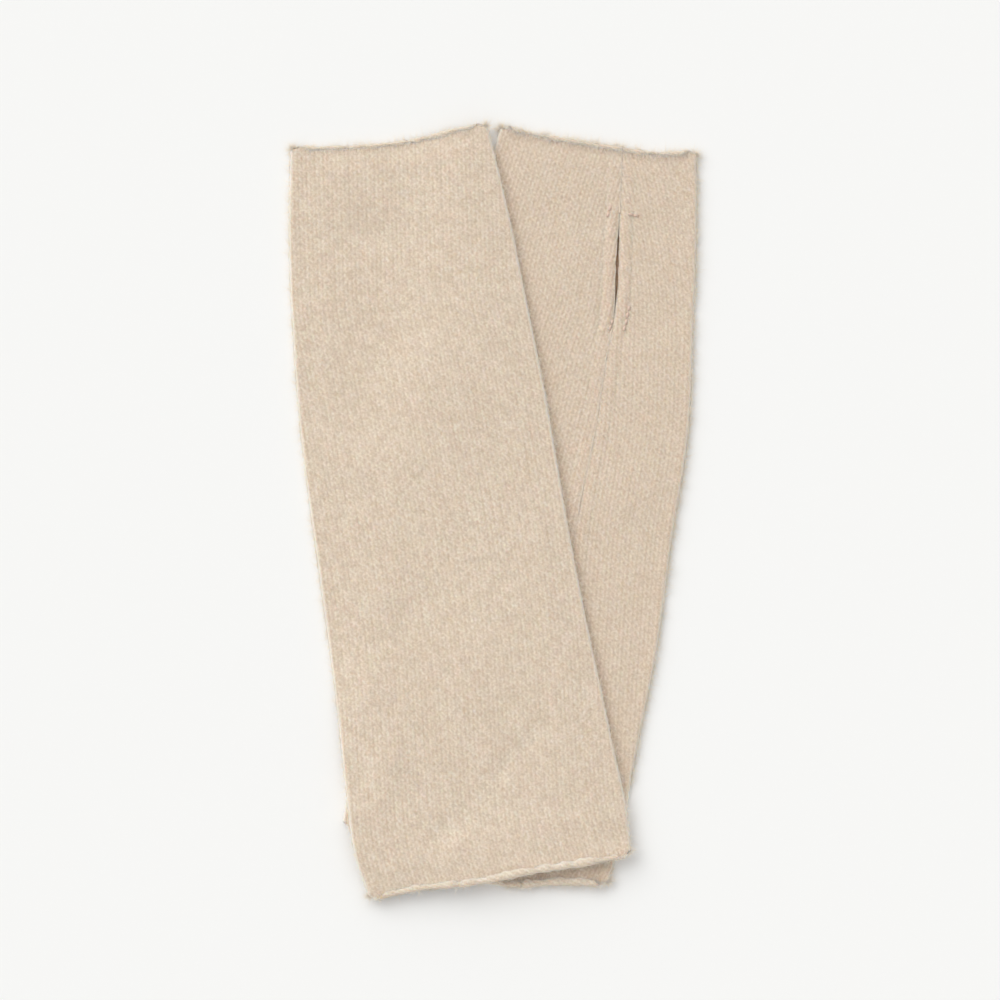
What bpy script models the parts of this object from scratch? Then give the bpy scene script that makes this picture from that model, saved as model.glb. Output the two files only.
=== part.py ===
"""Pair of knitted arm warmers, laid flat with one across the other.

Each warmer is one knitted panel closed into a tube by a long seam, part of which is left open as a slit for
the thumb. It lies flattened, so it has two layers that meet in a fold down each side, and its two ends roll
outward. A place on a warmer is given by two distances in millimetres: along, from the hand end, and across,
from the outer fold. The loft below is the inside of the tube, and a Solidify modifier grows the wall outward.
"""

import math
from typing import NamedTuple

import bpy
import numpy as np

MM = 0.001
COLLECTION = "knitted arm warmers"

# The cloth
WALL = 1.1
LENGTH = 336.7
LAYER_GAP = 0.5
FOLD_GAP = 1.0
PILLOW = 10.0

# The rolled ends
ROLL_RADIUS = 1.35
HAND_ROLL = 200.0
ARM_ROLL = 240.0
ROLL_AT_FOLD = 70.0
UNDER_ROLL = 0.45
ROLL_FADE = 12.0
END_RUN = 11.0
GAPE_RUN = 20.0
BOW_RUN = 70.0
ROLL_CLEARANCE = 0.25

# The seam and the thumb slit in it
LIP = 1.4
BAND = 4.6
BAND_FOOT = 5.4
SEAM_RELIEF = 0.25
SLIT_RELIEF = 0.45
SLIT_START = 31.0
SLIT_END = 87.0
SLIT_OPENING = 1.9
SLIT_FADE = 6.0
SLIT_ROUNDING = 0.8

# How one warmer lies on the other
CLEARANCE = 0.6
STEP_RUN = 4.4
STEP_TOP = 0.42
FINE = 4

# How finely the solids are divided, and the angle from which an edge is sharp
FOLD_STEPS = 4
FOLD_REST = 3.0
ROLL_STEPS = 5
NEAR_FIELD = 5
FAR_FIELD = 8
END_ROWS = (0.0, 3.0, 6.5)
HAND_FIELD_ROWS = 2
SLIT_ROWS = 8
ARM_FIELD_ROWS = 16
SHARP_ANGLE = 60.0

TOP = 1
BOTTOM = -1
OUTER = 1
INNER = -1


def table(columns, *rows):
    """A short table, as one array for each named column."""
    return dict(zip(columns.split(), np.array(rows, float).T))


# The cut, laid flat: width from fold to fold, and the seam's distance from the fold that is nearer to it
CUT = table(
    "along width seam",
    (0, 90.3, 34.0),
    (26, 97.0, 35.2),
    (52, 102.4, 36.0),
    (78, 106.3, 36.2),
    (104, 110.0, 39.8),
    (130, 112.6, 42.0),
    (181, 114.7, 44.0),
    (233, 117.4, 43.5),
    (285, 122.4, 41.0),
    (318, 124.6, 39.5),
    (336.7, 120.6, 38.5),
)

# How each warmer lies: the middle of its width, its turn towards the other one, and its spread beyond the cut
UPPER_LAY = table(
    "along x y turn spread",
    (0, -47.2, 169.7, 7.2, 0.0),
    (78, -38.3, 92.6, 7.8, 0.0),
    (130, -31.2, 41.0, 8.3, 0.0),
    (181, -23.5, -10.2, 8.8, 0.0),
    (259, -10.7, -87.1, 9.5, 0.0),
    (311, -2.2, -138.4, 9.8, 0.0),
    (336.7, 3.0, -163.3, 9.9, 0.0),
)
LOWER_LAY = table(
    "along x y turn spread",
    (0, 47.7, 168.2, 7.4, 0.0),
    (80, 37.9, 91.3, 8.1, 0.0),
    (130, 32.8, 43.4, 8.7, 0.0),
    (180, 24.4, -4.4, 9.1, 0.0),
    (230, 16.6, -52.5, 9.7, 0.0),
    (285, 3.6, -104.5, 10.7, 0.0),
    (336.7, -7.8, -153.7, 11.8, 3.0),
)

# The ends, over the width from the outer fold: how far each edge bows towards the arm, and how far it gapes
UPPER_ENDS = table(
    "share hand_bow hand_gape arm_bow arm_gape",
    (0.0, 0.2, 0.0, 0.0, 0.0),
    (0.2, 3.2, 0.4, -1.0, 0.4),
    (0.4, 4.6, 0.7, 0.8, 1.1),
    (0.6, 4.8, 0.6, 0.3, 1.3),
    (0.8, 3.0, 0.4, 0.8, 0.6),
    (1.0, 1.2, 0.0, 0.0, 0.0),
)
LOWER_ENDS = table(
    "share hand_bow hand_gape arm_bow arm_gape",
    (0.0, 0.4, 0.0, 0.6, 0.0),
    (0.2, 4.4, 0.5, 4.4, 0.3),
    (0.35, 4.4, 0.7, 9.6, 0.4),
    (0.6, 4.0, 0.6, 8.6, 0.3),
    (0.8, 2.9, 0.4, 4.4, 0.2),
    (1.0, 0.7, 0.0, 0.0, 0.0),
)

# The middle of the pair's box, in the frame of the two tables above
BOX_MIDDLE = (0.16, 0.223)


class Warmer(NamedTuple):
    """One warmer: side is +1 where its outer fold is on the right, and seam_fold is the fold by the seam."""

    name: str
    side: int
    seam_layer: int
    seam_fold: int
    lay: dict
    ends: dict
    colour: tuple


LOWER = Warmer("lower_warmer", 1, TOP, OUTER, LOWER_LAY, LOWER_ENDS, (0.69, 0.575, 0.45))
UPPER = Warmer("upper_warmer", -1, BOTTOM, INNER, UPPER_LAY, UPPER_ENDS, (0.70, 0.585, 0.46))


def smooth(rows, column, at):
    """The named column on a smooth curve through the rows, read at a value of the table's first column."""
    xs = next(iter(rows.values()))
    ys = rows[column]
    slopes = np.gradient(ys, xs)
    at = np.clip(at, xs[0], xs[-1])
    row = np.clip(np.searchsorted(xs, at) - 1, 0, len(xs) - 2)
    step = xs[row + 1] - xs[row]
    s = (at - xs[row]) / step
    start = (1 + 2 * s) * (1 - s) ** 2 * ys[row] + s * (1 - s) ** 2 * step * slopes[row]
    end = s**2 * (3 - 2 * s) * ys[row + 1] - s**2 * (1 - s) * step * slopes[row + 1]
    return start + end


def ease(s):
    """0 to 1 with a soft start and a soft end."""
    s = np.clip(s, 0.0, 1.0)
    return s * s * (3 - 2 * s)


def end_fade(along, run):
    """1 at either end of the warmer, easing to 0 over the run."""
    return 1 - ease(np.minimum(along, LENGTH - along) / run)


def full_turn(along):
    """How far the nearer end rolls on the top layer. Under it, the roll is pressed to UNDER_ROLL of that."""
    return HAND_ROLL if along < LENGTH / 2 else ARM_ROLL


def end_lift(along):
    """How far the cloth rises near an end, to stand on the roll under it."""
    depth = ROLL_RADIUS * (1 - math.cos(math.radians(full_turn(along) * UNDER_ROLL)))
    return (depth - WALL + ROLL_CLEARANCE) * end_fade(along, END_RUN)


def flat_width(warmer, along):
    return smooth(CUT, "width", along) + smooth(warmer.lay, "spread", along)


def seam_place(warmer, along):
    """The seam's distance from the outer fold."""
    from_fold = smooth(CUT, "seam", along)
    return from_fold if warmer.seam_fold == OUTER else flat_width(warmer, along) - from_fold


def directions(warmer, along):
    """Unit vectors on the table: from the outer fold to the inner one, and from the hand to the arm."""
    turn = math.radians(smooth(warmer.lay, "turn", along))
    inward = np.array((-warmer.side * math.cos(turn), math.sin(turn)))
    armward = np.array((-warmer.side * math.sin(turn), -math.cos(turn)))
    return inward, armward


def place(warmer, along, across):
    """Where a place on the warmer lies on the table."""
    width = flat_width(warmer, along)
    inward, armward = directions(warmer, along)
    share = across / width
    bow = smooth(warmer.ends, "hand_bow", share) * (1 - ease(along / BOW_RUN))
    bow = bow + smooth(warmer.ends, "arm_bow", share) * (1 - ease((LENGTH - along) / BOW_RUN))
    middle = np.array((smooth(warmer.lay, "x", along), smooth(warmer.lay, "y", along)))
    return middle - np.array(BOX_MIDDLE) + np.outer(across - width / 2, inward) + np.outer(bow, armward)


def layer_gap(warmer, along, across):
    """The space between the two layers, which widens at the folds and at the open ends."""
    width = flat_width(warmer, along)
    to_fold = np.minimum(across, width - across)
    end = "hand_gape" if along < LENGTH / 2 else "arm_gape"
    gape = smooth(warmer.ends, end, across / width) * end_fade(along, GAPE_RUN)
    return LAYER_GAP + (FOLD_GAP - LAYER_GAP) * (1 - ease(to_fold / PILLOW)) + gape


def slit_opening(along):
    """How far the slit's lips stand apart: a long lens."""
    share = (along - SLIT_START) / (SLIT_END - SLIT_START)
    if not 0 < share < 1:
        return 0.0
    return SLIT_OPENING * math.sin(math.pi * share) ** SLIT_ROUNDING


def seam_relief(along):
    """How far the turned edges beside the seam and the slit stand up from the cloth."""
    near_slit = ease((along - SLIT_START) / SLIT_FADE + 1) * ease((SLIT_END - along) / SLIT_FADE + 1)
    relief = SEAM_RELIEF + (SLIT_RELIEF - SEAM_RELIEF) * near_slit
    return relief * (1 - end_fade(along, END_RUN))


def field_counts(warmer):
    """How many columns the plain cloth has on the outer side of the seam, and on its inner side."""
    counts = (NEAR_FIELD, FAR_FIELD)
    return counts if warmer.seam_fold == OUTER else counts[::-1]


def layer_columns(warmer, layer, along):
    """Across and relief of each point of one layer, from the outer fold to the inner one. With them comes the
    index of the seam's point, or None in the layer that has no seam."""
    width = flat_width(warmer, along)
    edge = WALL + FOLD_GAP / 2
    seam = seam_place(warmer, along)
    aside = slit_opening(along) / 2
    outer_field, inner_field = field_counts(warmer)
    outer = np.linspace(edge + FOLD_REST, seam - BAND_FOOT - aside, outer_field - 1)
    inner = np.linspace(seam + BAND_FOOT + aside, width - edge - FOLD_REST, inner_field - 1)
    band = np.array((-BAND - aside, -LIP - aside, 0.0, LIP + aside, BAND + aside))
    if layer != warmer.seam_layer:
        band = band[::2] if layer == TOP else band[:0]
    across = np.concatenate([[edge], outer, seam + band, inner, [width - edge]])
    relief = np.zeros(len(across))
    if layer != warmer.seam_layer:
        return across, relief, None
    middle = outer_field + 2
    if layer == TOP:
        relief[middle - 2 : middle + 3] = seam_relief(along)
        if aside == 0:
            relief[middle] = 0.0
    return across, relief, middle


def fold_arc(centre, radius, direction):
    """The points inside a side fold, from the top layer down: across, height and the outward normal."""
    angles = np.radians(np.linspace(90, -90, FOLD_STEPS + 1))[1:-1]
    across = centre + direction * radius * np.cos(angles)
    return across, radius + radius * np.sin(angles), direction * np.cos(angles), np.sin(angles)


def tube_section(warmer, along):
    """One section of the inside of the tube: across, height over the bottom layer, the outward normal's two
    parts, relief, and the index of the seam's point. It runs over the top layer, round the inner fold and
    back along the bottom one."""
    width = flat_width(warmer, along)
    edge = WALL + FOLD_GAP / 2
    top, top_relief, top_seam = layer_columns(warmer, TOP, along)
    bottom, bottom_relief, bottom_seam = layer_columns(warmer, BOTTOM, along)
    inner = fold_arc(width - edge, FOLD_GAP / 2, 1)
    outer = fold_arc(edge, FOLD_GAP / 2, -1)
    folds = np.zeros(FOLD_STEPS - 1)
    across = np.concatenate([top, inner[0], bottom[::-1], outer[0][::-1]])
    gap = layer_gap(warmer, along, top)
    height = np.concatenate([gap, inner[1], 0 * bottom, outer[1][::-1]])
    sideways = np.concatenate([0 * top, inner[2], 0 * bottom, outer[2][::-1]])
    upward = np.concatenate([0 * top + 1, inner[3], 0 * bottom - 1, outer[3][::-1]])
    relief = np.concatenate([top_relief, folds, bottom_relief[::-1], folds])
    if top_seam is None:
        seam = len(top) + len(folds) + len(bottom) - 1 - bottom_seam
    else:
        seam = top_seam
    return across, height, sideways, upward, relief, seam


def tube_row(warmer, along, floor):
    """The points, outward normals and wall of one section where it lies, and the seam's index."""
    across, height, sideways, upward, relief, seam = tube_section(warmer, along)
    flat = place(warmer, along, across)
    inward, _ = directions(warmer, along)
    z = floor(flat) + WALL + end_lift(along) + height
    points = np.column_stack([flat, z])
    normals = np.column_stack([np.outer(sideways, inward), upward])
    return points, normals, WALL + relief, seam


def rolled_rows(warmer, along, floor):
    """The rows of a rolled end, from the tube's last section outward to the free edge."""
    points, normals, wall, _ = tube_row(warmer, along, floor)
    across = tube_section(warmer, along)[0]
    to_fold = np.minimum(across, flat_width(warmer, along) - across)
    full = full_turn(along) * np.where(normals[:, 2] < 0, UNDER_ROLL, 1.0)
    turn = np.radians(ROLL_AT_FOLD + (full - ROLL_AT_FOLD) * ease(to_fold / ROLL_FADE))
    _, armward = directions(warmer, along)
    outward = np.append(armward, 0.0) * (-1 if along == 0 else 1)
    rows = []
    for step in range(1, ROLL_STEPS + 1):
        angle = (turn * step / ROLL_STEPS)[:, None]
        curl = np.sin(angle) * outward + (1 - np.cos(angle)) * normals
        facing = np.cos(angle) * normals - np.sin(angle) * outward
        rows.append((points + ROLL_RADIUS * curl, facing, wall))
    return rows


def alongs():
    """The distances from the hand end at which sections are taken."""
    start = np.array(END_ROWS)
    hand = np.linspace(END_RUN, SLIT_START, HAND_FIELD_ROWS + 1)[:-1]
    slit = np.linspace(SLIT_START, SLIT_END, SLIT_ROWS + 1)[:-1]
    arm = np.linspace(SLIT_END, LENGTH - END_RUN, ARM_FIELD_ROWS + 1)
    return np.concatenate([start, hand, slit, arm, (LENGTH - start)[::-1]])


def tube_grid(warmer, floor):
    """Every row of the warmer from one free edge to the other: points, normals and wall. With them come the
    rows that the slit cuts, as flags, and the index of the seam's column."""
    rows = rolled_rows(warmer, 0.0, floor)[::-1]
    cut = [False] * ROLL_STEPS
    for along in alongs():
        points, normals, wall, seam = tube_row(warmer, along, floor)
        rows.append((points, normals, wall))
        cut.append(slit_opening(along) > 0)
    rows += rolled_rows(warmer, LENGTH, floor)
    cut += [False] * ROLL_STEPS
    points, normals, wall = (np.array(part) for part in zip(*rows))
    return points, normals, wall, np.array(cut), seam


def bare_table(flat):
    return np.zeros(len(flat))


def fine_heights(warmer):
    """Close-set points of the warmer's upper surface, read from its own facets."""
    points, normals, wall, _, _ = tube_grid(warmer, bare_table)
    surface = points + normals * wall[..., None]
    highest = np.where(surface[..., 2:] > points[..., 2:], surface, points)
    for axis in (0, 1):
        count = highest.shape[axis]
        at = np.linspace(0, count - 1, (count - 1) * FINE + 1)
        low = np.minimum(at.astype(int), count - 2)
        part = (at - low).reshape((-1, 1, 1) if axis == 0 else (1, -1, 1))
        highest = np.take(highest, low, axis) * (1 - part) + np.take(highest, low + 1, axis) * part
    return highest.reshape(-1, 3)


def floor_over(warmer):
    """A function for how high the cloth over this warmer rests. It bridges each step in a soft slope."""
    under = fine_heights(warmer)
    height = under[:, 2] + CLEARANCE

    def floor(flat):
        rest = np.empty(len(flat))
        for index, spot in enumerate(flat):
            away = np.hypot(under[:, 0] - spot[0], under[:, 1] - spot[1])
            slope = (away / (STEP_RUN * height) - STEP_TOP) / (1 - STEP_TOP)
            rest[index] = np.max(height * (1 - ease(slope)))
        return rest

    return floor


def loft_mesh(name, points, cut, seam, lips):
    """The open tube as a mesh. Where the slit cuts a row, the seam's point is two: one on each lip."""
    rows, columns = points.shape[:2]
    before = np.arange(rows * columns).reshape(rows, columns)
    after = before.copy()
    places = points.reshape(-1, 3).copy()
    extra = []
    for row in np.flatnonzero(cut):
        places[before[row, seam]] = lips[row][0]
        after[row, seam] = len(places) + len(extra)
        extra.append(lips[row][1])
    places = np.vstack([places, *extra])
    faces = []
    for row in range(rows - 1):
        for column in range(columns):
            beyond = (column + 1) % columns
            faces.append((
                before[row, beyond],
                before[row + 1, beyond],
                after[row + 1, column],
                after[row, column],
            ))
    mesh = bpy.data.meshes.new(name)
    mesh.from_pydata((places * MM).tolist(), [], np.array(faces).tolist())
    mesh.update()
    return mesh, after


def lip_points(points, cut, seam):
    """For each row that the slit cuts, the two points that its lips put in place of the seam's."""
    lips = {}
    row_alongs = np.concatenate([np.zeros(ROLL_STEPS), alongs(), np.zeros(ROLL_STEPS)])
    for row in np.flatnonzero(cut):
        before = points[row, seam - 1] - points[row, seam]
        after = points[row, seam + 1] - points[row, seam]
        half = slit_opening(row_alongs[row]) / 2
        lips[row] = (
            points[row, seam] + before * half / np.linalg.norm(before),
            points[row, seam] + after * half / np.linalg.norm(after),
        )
    return lips


def knit_material(warmer):
    material = bpy.data.materials.new(warmer.name + "_knit")
    material.use_nodes = True
    shader = material.node_tree.nodes["Principled BSDF"]
    shader.inputs["Base Color"].default_value = (*warmer.colour, 1.0)
    shader.inputs["Roughness"].default_value = 0.92
    shader.inputs["Metallic"].default_value = 0.0
    return material


def add_warmer(warmer, floor, collection):
    points, _, wall, cut, seam = tube_grid(warmer, floor)
    lips = lip_points(points, cut, seam)
    mesh, after = loft_mesh(warmer.name, points, cut, seam, lips)
    if warmer.side < 0:
        mesh.flip_normals()
    mesh.shade_smooth()
    mesh.set_sharp_from_angle(angle=math.radians(SHARP_ANGLE))
    mesh.materials.append(knit_material(warmer))
    body = bpy.data.objects.new(warmer.name, mesh)
    collection.objects.link(body)

    thickest = float(wall.max())
    group = body.vertex_groups.new(name="wall")
    shares = np.ones(len(mesh.vertices)) * WALL
    shares[: wall.size] = wall.reshape(-1)
    for row in np.flatnonzero(cut):
        shares[after[row, seam]] = wall[row, seam]
    for index, share in enumerate(shares):
        group.add([index], float(share) / thickest, "REPLACE")

    solid = body.modifiers.new("wall", "SOLIDIFY")
    solid.thickness = thickest * MM
    solid.offset = 1.0
    solid.vertex_group = group.name
    return body


def main():
    for leftover in list(bpy.data.objects):
        bpy.data.objects.remove(leftover)
    collection = bpy.data.collections.new(COLLECTION)
    bpy.context.scene.collection.children.link(collection)
    add_warmer(LOWER, bare_table, collection)
    add_warmer(UPPER, floor_over(LOWER), collection)


main()
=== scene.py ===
"""Looks for the pair of knitted arm warmers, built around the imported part.

Each warmer is made again as one knitted panel, wrapped into a tube and closed along its seam, on the form of
its CAD solid but with every stitch raised in it. Sizes are in millimetres, and MM takes them to Blender's
metres. A place on a warmer is given by two distances: along, from the hand end, and round, from the seam
towards the fold near it, over the other layer and back to the seam.
"""

import math
from typing import NamedTuple

import bpy
import numpy as np
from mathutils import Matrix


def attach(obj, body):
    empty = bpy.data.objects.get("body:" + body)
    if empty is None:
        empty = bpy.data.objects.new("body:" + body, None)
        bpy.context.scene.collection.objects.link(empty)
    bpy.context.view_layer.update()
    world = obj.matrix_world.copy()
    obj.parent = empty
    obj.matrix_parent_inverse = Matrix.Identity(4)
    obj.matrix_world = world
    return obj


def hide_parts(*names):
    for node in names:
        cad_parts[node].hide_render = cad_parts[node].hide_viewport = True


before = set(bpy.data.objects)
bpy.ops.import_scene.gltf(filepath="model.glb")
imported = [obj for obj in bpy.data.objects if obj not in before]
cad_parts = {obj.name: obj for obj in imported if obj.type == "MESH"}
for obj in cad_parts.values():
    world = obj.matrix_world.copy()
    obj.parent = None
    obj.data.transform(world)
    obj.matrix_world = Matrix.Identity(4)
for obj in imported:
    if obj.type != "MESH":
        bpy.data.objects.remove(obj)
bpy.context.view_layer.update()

MM = 0.001

# How many random values a soft random wave runs through, and where along them it starts
WAVE_VALUES = 512
WAVE_START = 100

# The cloth, as in the part
WALL = 1.1
INNER_SKIN = 0.1
LENGTH = 336.7
LAYER_GAP = 0.5
FOLD_GAP = 1.0
PILLOW = 10.0
EDGE = WALL + FOLD_GAP / 2
FOLD_ARC = math.pi * EDGE

# The rolled ends, where the cloth thins. The turns of the top layer and of the one under it are in degrees.
HAND_RADIUS = 0.85
ARM_RADIUS = 1.25
HAND_ROLL = 225.0
ARM_ROLL = 250.0
UNDER_HAND_ROLL = 90.0
UNDER_ARM_ROLL = 108.0
ROLL_AT_FOLD = 30.0
ROLL_FADE = 9.0
ROLL_SPREAD = 1.5
HAND_SINK = 0.75
ARM_SINK = 0.45
ROLL_THIN = 0.45
TURN_UNEVEN = 0.12
RADIUS_UNEVEN = 0.3
ROLL_WAVE = 4.0
RAGGED = 0.35
RAGGED_WAVE = 2.4
ROLL_CLEARANCE = 0.25
ROLL_ROWS = 7

# The purl side, which shows on the rolls: how far its bumps stand up, and how much painted shade darkens the
# bumps and the places between them
PURL = 0.35
PURL_SHADE_ON_BUMP = 0.1
PURL_SHADE_BETWEEN = 0.9

# How far from an end its lift, its gape and its bow reach, and how each corner is rounded near its fold
END_RUN = 11.0
GAPE_RUN = 20.0
BOW_RUN = 70.0
CORNER = 1.5
CORNER_RUN = 5.0

# The seam and the thumb slit in it. The turned edges beside it are ragged by this much down and up.
LIP = 1.9
BAND = 4.6
BAND_FOOT = 6.2
BAND_GROOVE = 0.3
BAND_RAGGED = (-0.35, 0.175)
LIP_DROP = 0.75
SEAM_DROP = 0.15
SEAM_RELIEF = 0.25
SLIT_RELIEF = 0.45
SLIT_START = 31.0
SLIT_END = 87.0
SLIT_FADE = 6.0
OPENING_START = 36.5
OPENING_END = 81.0
OPENING = 1.25
OPENING_UNEVEN = 0.5
OPENING_WAVE = 3.0
SLIT_PULL = 25.0

# How one warmer lies on the other
CLEARANCE = 0.4
STEP_RUN = 11.0
STEP_TOP = 0.15
STEP_UNEVEN = 0.35
STEP_WAVE = 45.0
LATTICE = 2.0
LATTICE_BLURS = 3
JUST_INSIDE = 0.001

# The knit: one stitch is WALE wide and a COURSE high, and is drawn with a few rows and columns of points
WALE = 3.8
COURSES = 107
COURSE = LENGTH / COURSES
ROWS = 3
COLUMNS = 4
LINING_STEP = 6
STITCH_DEPTH = 0.42
LEG_SLANT = 0.35
UNEVEN = 0.3
SEED = 7

# Height within a stitch, 0 to 1, for each of its rows from the foot up
STITCH_HEIGHTS = {
    "between wales": (0.0, 0.1, 0.35),
    "leg": (0.6, 1.0, 0.85),
    "between legs": (0.55, 0.15, 0.0),
}

# The nap: fine hairs that stand off the yarn, more of them the further the cloth turns from facing up. A worn
# hair keeps at least this share of its length.
HAIRS = 48000
HAIR_LENGTH = (1.5, 7.5)
HAIR_WORN = 0.3
HAIR_RADIUS = 0.08
HAIR_LEAN = 0.7
HAIR_RISE = 0.3
HAIRS_AT_EDGES = 400.0
NAP_INSET = 0.2
# On the rolls this share weighs both the hairs and the painted light that lightens the rolls
NAP_AND_PAINTED_LIGHT_ON_ROLLS = 0.4
LOWEST_ROOT = -0.3
TABLE_CLEARANCE = 0.02

# The stitches that hold the turned edges at the slit's ends
TACK_RADIUS = 0.65
TACK_STEPS = 7
TACK_TAPER = 0.4

# The yarn that closes the seam, which shows between its two edges
SEAM_YARN = 0.6
SEAM_YARN_DEPTH = 0.7
SEAM_YARN_STEPS = 150
SEAM_YARN_SWAY = 0.25
SEAM_YARN_WAVE = 1.6

# Any strand: its sides, how its colour varies and over how long a stretch, and the share of its run that goes
# straight up beyond which it counts as upright
STRAND_SIDES = 8
STRAND_SHADES = (0.85, 1.1)
STRAND_PATCH = 0.7
UPRIGHT = 0.7

# Colours, and the studio's light. A deep stitch and a tinted patch multiply the yarn's own colour. Painted
# shade darkens it between the stitches and within the tube, and painted light lightens it on the folds and
# rolls.
YARN_DARK = (0.765, 0.625, 0.515, 1)
YARN_LIGHT = (0.91, 0.775, 0.67, 1)
DEEP_STITCH = (0.90, 0.885, 0.87, 1)
TINTED_PATCH = (0.955, 0.985, 0.94, 1)
SHADE_BETWEEN_STITCHES = (0.86, 0.80, 0.74, 1)
SHADE_WITHIN_TUBE = (0.72, 0.57, 0.47, 1)
PAINTED_LIGHT_AT_FOLDS = (0.98, 0.89, 0.80, 1)
HAIR_COLOUR = (0.96, 0.81, 0.67)
SEAM_YARN_COLOUR = (0.72, 0.60, 0.48)
THREAD_COLOUR = (0.73, 0.56, 0.46)
TABLE_COLOUR = (0.90, 0.90, 0.885, 1)
ROOM_LIGHT = 0.52
FIBRE_SIZE = 0.85
FIBRE_CONTRAST = (0.33, 0.67)
FIBRE_RELIEF = 0.2
PATCH_SIZE = 5.0

# The table top, and the camera over it
TABLE_WIDTH = 6000.0
LENS = 180.0
SENSOR = 36.0
VIEW_WIDTH = 450.0
VIEW_MIDDLE = (2.99, 4.50)
FOCUS_HEIGHT = 6.0

TOP = 1
BOTTOM = -1
OUTER = 1
INNER = -1


def table(columns, *rows):
    """A short table, as one array for each named column."""
    return dict(zip(columns.split(), np.array(rows, float).T))


# The cut, laid flat: width from fold to fold, and the seam's distance from the fold that is nearer to it
CUT = table(
    "along width seam",
    (0, 90.3, 34.0),
    (26, 97.0, 35.2),
    (52, 102.4, 36.0),
    (78, 106.3, 36.2),
    (104, 110.0, 39.8),
    (130, 112.6, 42.0),
    (181, 114.7, 44.0),
    (233, 117.4, 43.5),
    (285, 122.4, 41.0),
    (318, 124.6, 39.5),
    (336.7, 120.6, 38.5),
)

# How each warmer lies: the middle of its width, its turn towards the other one, and its spread beyond the cut
UPPER_LAY = table(
    "along x y turn spread",
    (0, -47.2, 169.7, 7.2, 0.0),
    (78, -38.3, 92.6, 7.8, 0.0),
    (130, -31.2, 41.0, 8.3, 0.0),
    (181, -23.5, -10.2, 8.8, 0.0),
    (259, -10.7, -87.1, 9.5, 0.0),
    (311, -2.2, -138.4, 9.8, 0.0),
    (336.7, 3.0, -163.3, 9.9, 0.0),
)
LOWER_LAY = table(
    "along x y turn spread",
    (0, 47.7, 168.2, 7.4, 0.0),
    (80, 37.9, 91.3, 8.1, 0.0),
    (130, 32.8, 43.4, 8.7, 0.0),
    (180, 24.4, -4.4, 9.1, 0.0),
    (230, 16.6, -52.5, 9.7, 0.0),
    (285, 3.6, -104.5, 10.7, 0.0),
    (336.7, -7.8, -153.7, 11.8, 3.0),
)

# The ends, over the width from the outer fold: how far each edge bows towards the arm, and how far it gapes
UPPER_ENDS = table(
    "share hand_bow hand_gape arm_bow arm_gape",
    (0.0, 0.2, 0.0, 1.2, 0.0),
    (0.2, 3.2, 0.2, 0.2, 0.3),
    (0.4, 4.6, 0.3, 1.8, 0.8),
    (0.6, 4.8, 0.3, 1.3, 1.0),
    (0.8, 3.0, 0.2, 1.8, 0.5),
    (1.0, 1.2, 0.0, 1.2, 0.0),
)
LOWER_ENDS = table(
    "share hand_bow hand_gape arm_bow arm_gape",
    (0.0, 0.8, 0.0, 1.6, 0.0),
    (0.2, 4.2, 0.2, 6.2, 0.3),
    (0.35, 4.2, 0.3, 11.2, 0.4),
    (0.6, 3.6, 0.3, 8.6, 0.3),
    (0.8, 2.9, 0.2, 4.4, 0.2),
    (1.0, 0.7, 0.0, 0.0, 0.0),
)

# The middle of the pair's box, in the frame of the lay tables above
BOX_MIDDLE = (0.16, 0.223)

# Soft swells and dents of the top layer: middle, reach along its own line and across it, that line's turn
# from the X axis, and height. The loft is how far the whole layer stands up, so that a dent has room.
UPPER_LOFT = 1.2
UPPER_SWELLS = table(
    "x y long wide turn height",
    (-54.6, 125.0, 20.0, 9.0, 0.0, -1.3),
    (-69.0, 24.8, 20.0, 9.0, -25.0, 1.3),
    (-19.5, 58.5, 30.0, 19.0, 80.0, 1.3),
    (-42.0, -51.7, 22.0, 11.0, 40.0, -1.3),
    (-3.8, -67.5, 26.0, 16.0, 70.0, 1.4),
    (9.7, -110.0, 22.0, 5.0, 48.0, -1.0),
    (-48.8, -119.0, 20.0, 8.0, 80.0, 1.2),
    (-21.8, -143.0, 11.0, 5.5, 30.0, -1.0),
    (10.0, -146.0, 45.0, 8.0, 10.0, 1.1),
    (-30.0, 92.0, 20.0, 12.0, 60.0, -0.8),
    (-75.0, -8.0, 14.0, 9.0, 60.0, -0.9),
    (-64.0, -80.0, 14.0, 10.0, 20.0, 1.1),
)
LOWER_LOFT = 0.6
LOWER_SWELLS = table(
    "x y long wide turn height",
    (66.0, 83.3, 15.0, 8.0, 10.0, -0.8),
    (61.5, 6.8, 16.0, 12.0, 10.0, 0.8),
    (50.0, 136.0, 9.0, 5.0, 60.0, -0.7),
    (32.0, 108.0, 18.0, 12.0, 70.0, 0.5),
    (78.0, 128.0, 14.0, 9.0, 20.0, -0.6),
)
SWELL_FADE = 16.0

# Where each tack starts, along and aside from the seam towards the outer fold, and how far it runs
TACKS = table(
    "along aside run_along run_aside",
    (31.1, 4.1, 0.0, 2.0),
    (31.3, 6.6, -0.1, 1.9),
    (28.3, -4.4, 2.4, -0.4),
    (31.5, -5.0, 2.4, -0.5),
    (75.6, 6.2, 2.2, -0.1),
    (78.9, 6.0, 2.1, -0.1),
    (82.2, 5.9, 2.1, -0.2),
    (85.4, 5.6, 1.9, -0.2),
    (83.2, -0.4, 2.0, -0.2),
    (86.0, -0.8, 2.0, -0.2),
)

# The lights: strength, width in the sky, height over the horizon, and turn from the picture's top to its left
LIGHTS = table(
    "strength wide high turn",
    (1.15, 45.0, 42.0, 42.0),
    (0.98, 110.0, 60.0, 36.0),
)


class Warmer(NamedTuple):
    """One warmer. Its outer fold is on the right where side is +1, seam_fold is the fold by its seam, and
    deeper is how much darker its stitches are."""

    name: str
    node: str
    side: int
    seam_layer: int
    seam_fold: int
    lay: dict
    ends: dict
    loft: float
    swells: dict
    deeper: float
    seed: int


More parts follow.
